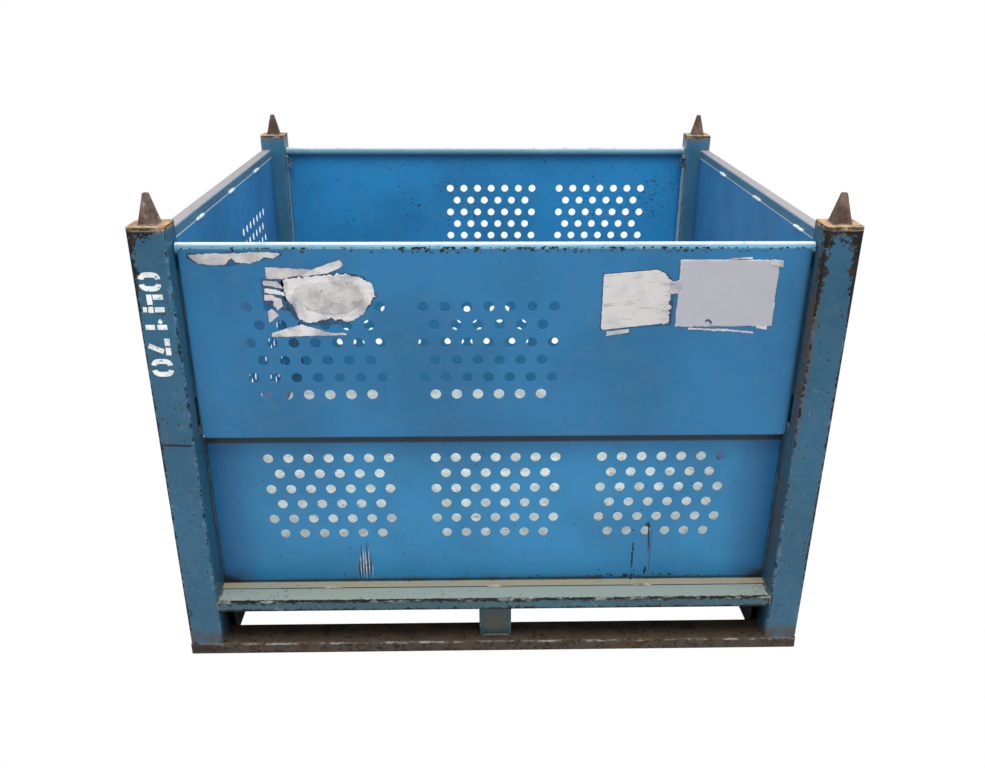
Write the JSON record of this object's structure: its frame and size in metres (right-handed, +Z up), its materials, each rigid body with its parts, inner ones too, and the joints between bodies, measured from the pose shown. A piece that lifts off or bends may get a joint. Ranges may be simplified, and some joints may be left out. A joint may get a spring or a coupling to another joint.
{
  "type": "rigid steel stacking bulk container",
  "caption": "Rigid steel bulk container with perforated walls, corner posts with stacking spikes, fork pockets, and lift-and-swing half-height gates at front and back.",
  "frame": {"origin": "bottom centre of the container, on the ground", "axes": "+X to the right, +Y to the back, +Z up; the front gate faces -Y"},
  "size_m": [1.2192, 1.143, 0.9144],
  "materials": {
    "post_paint": "worn blue enamel with chips and rust",
    "sheet_paint": "worn blue enamel with scratches and dust",
    "gate_paint": "worn blue enamel with torn paper labels",
    "gate_tube_paint": "blue enamel rubbed pale along the top",
    "rail_paint": "blue enamel worn to grey, with dust",
    "skid_paint": "blue enamel mostly lost to brown rust",
    "runner_paint": "blue enamel over rust",
    "under_paint": "thin blue enamel",
    "floor_steel": "enamel scoured to grey steel with rust specks",
    "cap_rust": "paint worn off, tan rust",
    "spike_rust": "paint worn off, brown rust",
    "pin_steel": "bare steel, rubbed"
  },
  "bodies": {
    "frame": {"post_front_left": "post_paint", "post_cap_front_left": "cap_rust", "stacking_spike_front_left": "spike_rust", "post_front_right": "post_paint", "post_cap_front_right": "cap_rust", "stacking_spike_front_right": "spike_rust", "post_back_left": "post_paint", "post_cap_back_left": "cap_rust", "stacking_spike_back_left": "spike_rust", "post_back_right": "post_paint", "post_cap_back_right": "cap_rust", "stacking_spike_back_right": "spike_rust", "skid_front": "skid_paint", "deck_rail_front": "rail_paint", "lower_sheet_front": "sheet_paint", "gate_stops_front": "post_paint", "skid_back": "skid_paint", "deck_rail_back": "rail_paint", "lower_sheet_back": "sheet_paint", "gate_stops_back": "post_paint", "side_runner_left": "runner_paint", "deck_rail_left": "rail_paint", "side_sheet_left": "sheet_paint", "side_top_rail_left": "rail_paint", "side_runner_right": "runner_paint", "deck_rail_right": "rail_paint", "side_sheet_right": "sheet_paint", "side_top_rail_right": "rail_paint", "centre_runner": "runner_paint", "centre_runner_end_plates": "runner_paint", "floor_plate": "floor_steel", "cross_member_1": "under_paint", "cross_member_2": "under_paint", "cross_member_3": "under_paint"},
    "front_gate_pins": {"pivot_pins_front": "pin_steel"},
    "front_gate": {"gate_sheet_front": "gate_paint", "gate_top_tube_front": "gate_tube_paint"},
    "back_gate_pins": {"pivot_pins_back": "pin_steel"},
    "back_gate": {"gate_sheet_back": "gate_paint", "gate_top_tube_back": "gate_tube_paint"}
  },
  "joints": [
    {"name": "front_gate_lift", "type": "slide", "parent": "frame", "child": "front_gate_pins", "axis": [0, 0, 1], "range_m": [0, 0.057]},
    {"name": "front_gate_swing", "type": "hinge", "parent": "front_gate_pins", "child": "front_gate", "pos_m": [0, -0.528, 0.4814], "axis": [1, 0, 0], "range_deg": [0, 180]},
    {"name": "back_gate_lift", "type": "slide", "parent": "frame", "child": "back_gate_pins", "axis": [0, 0, 1], "range_m": [0, 0.057]},
    {"name": "back_gate_swing", "type": "hinge", "parent": "back_gate_pins", "child": "back_gate", "pos_m": [0, 0.528, 0.4814], "axis": [-1, 0, 0], "range_deg": [0, 180]}
  ]
}
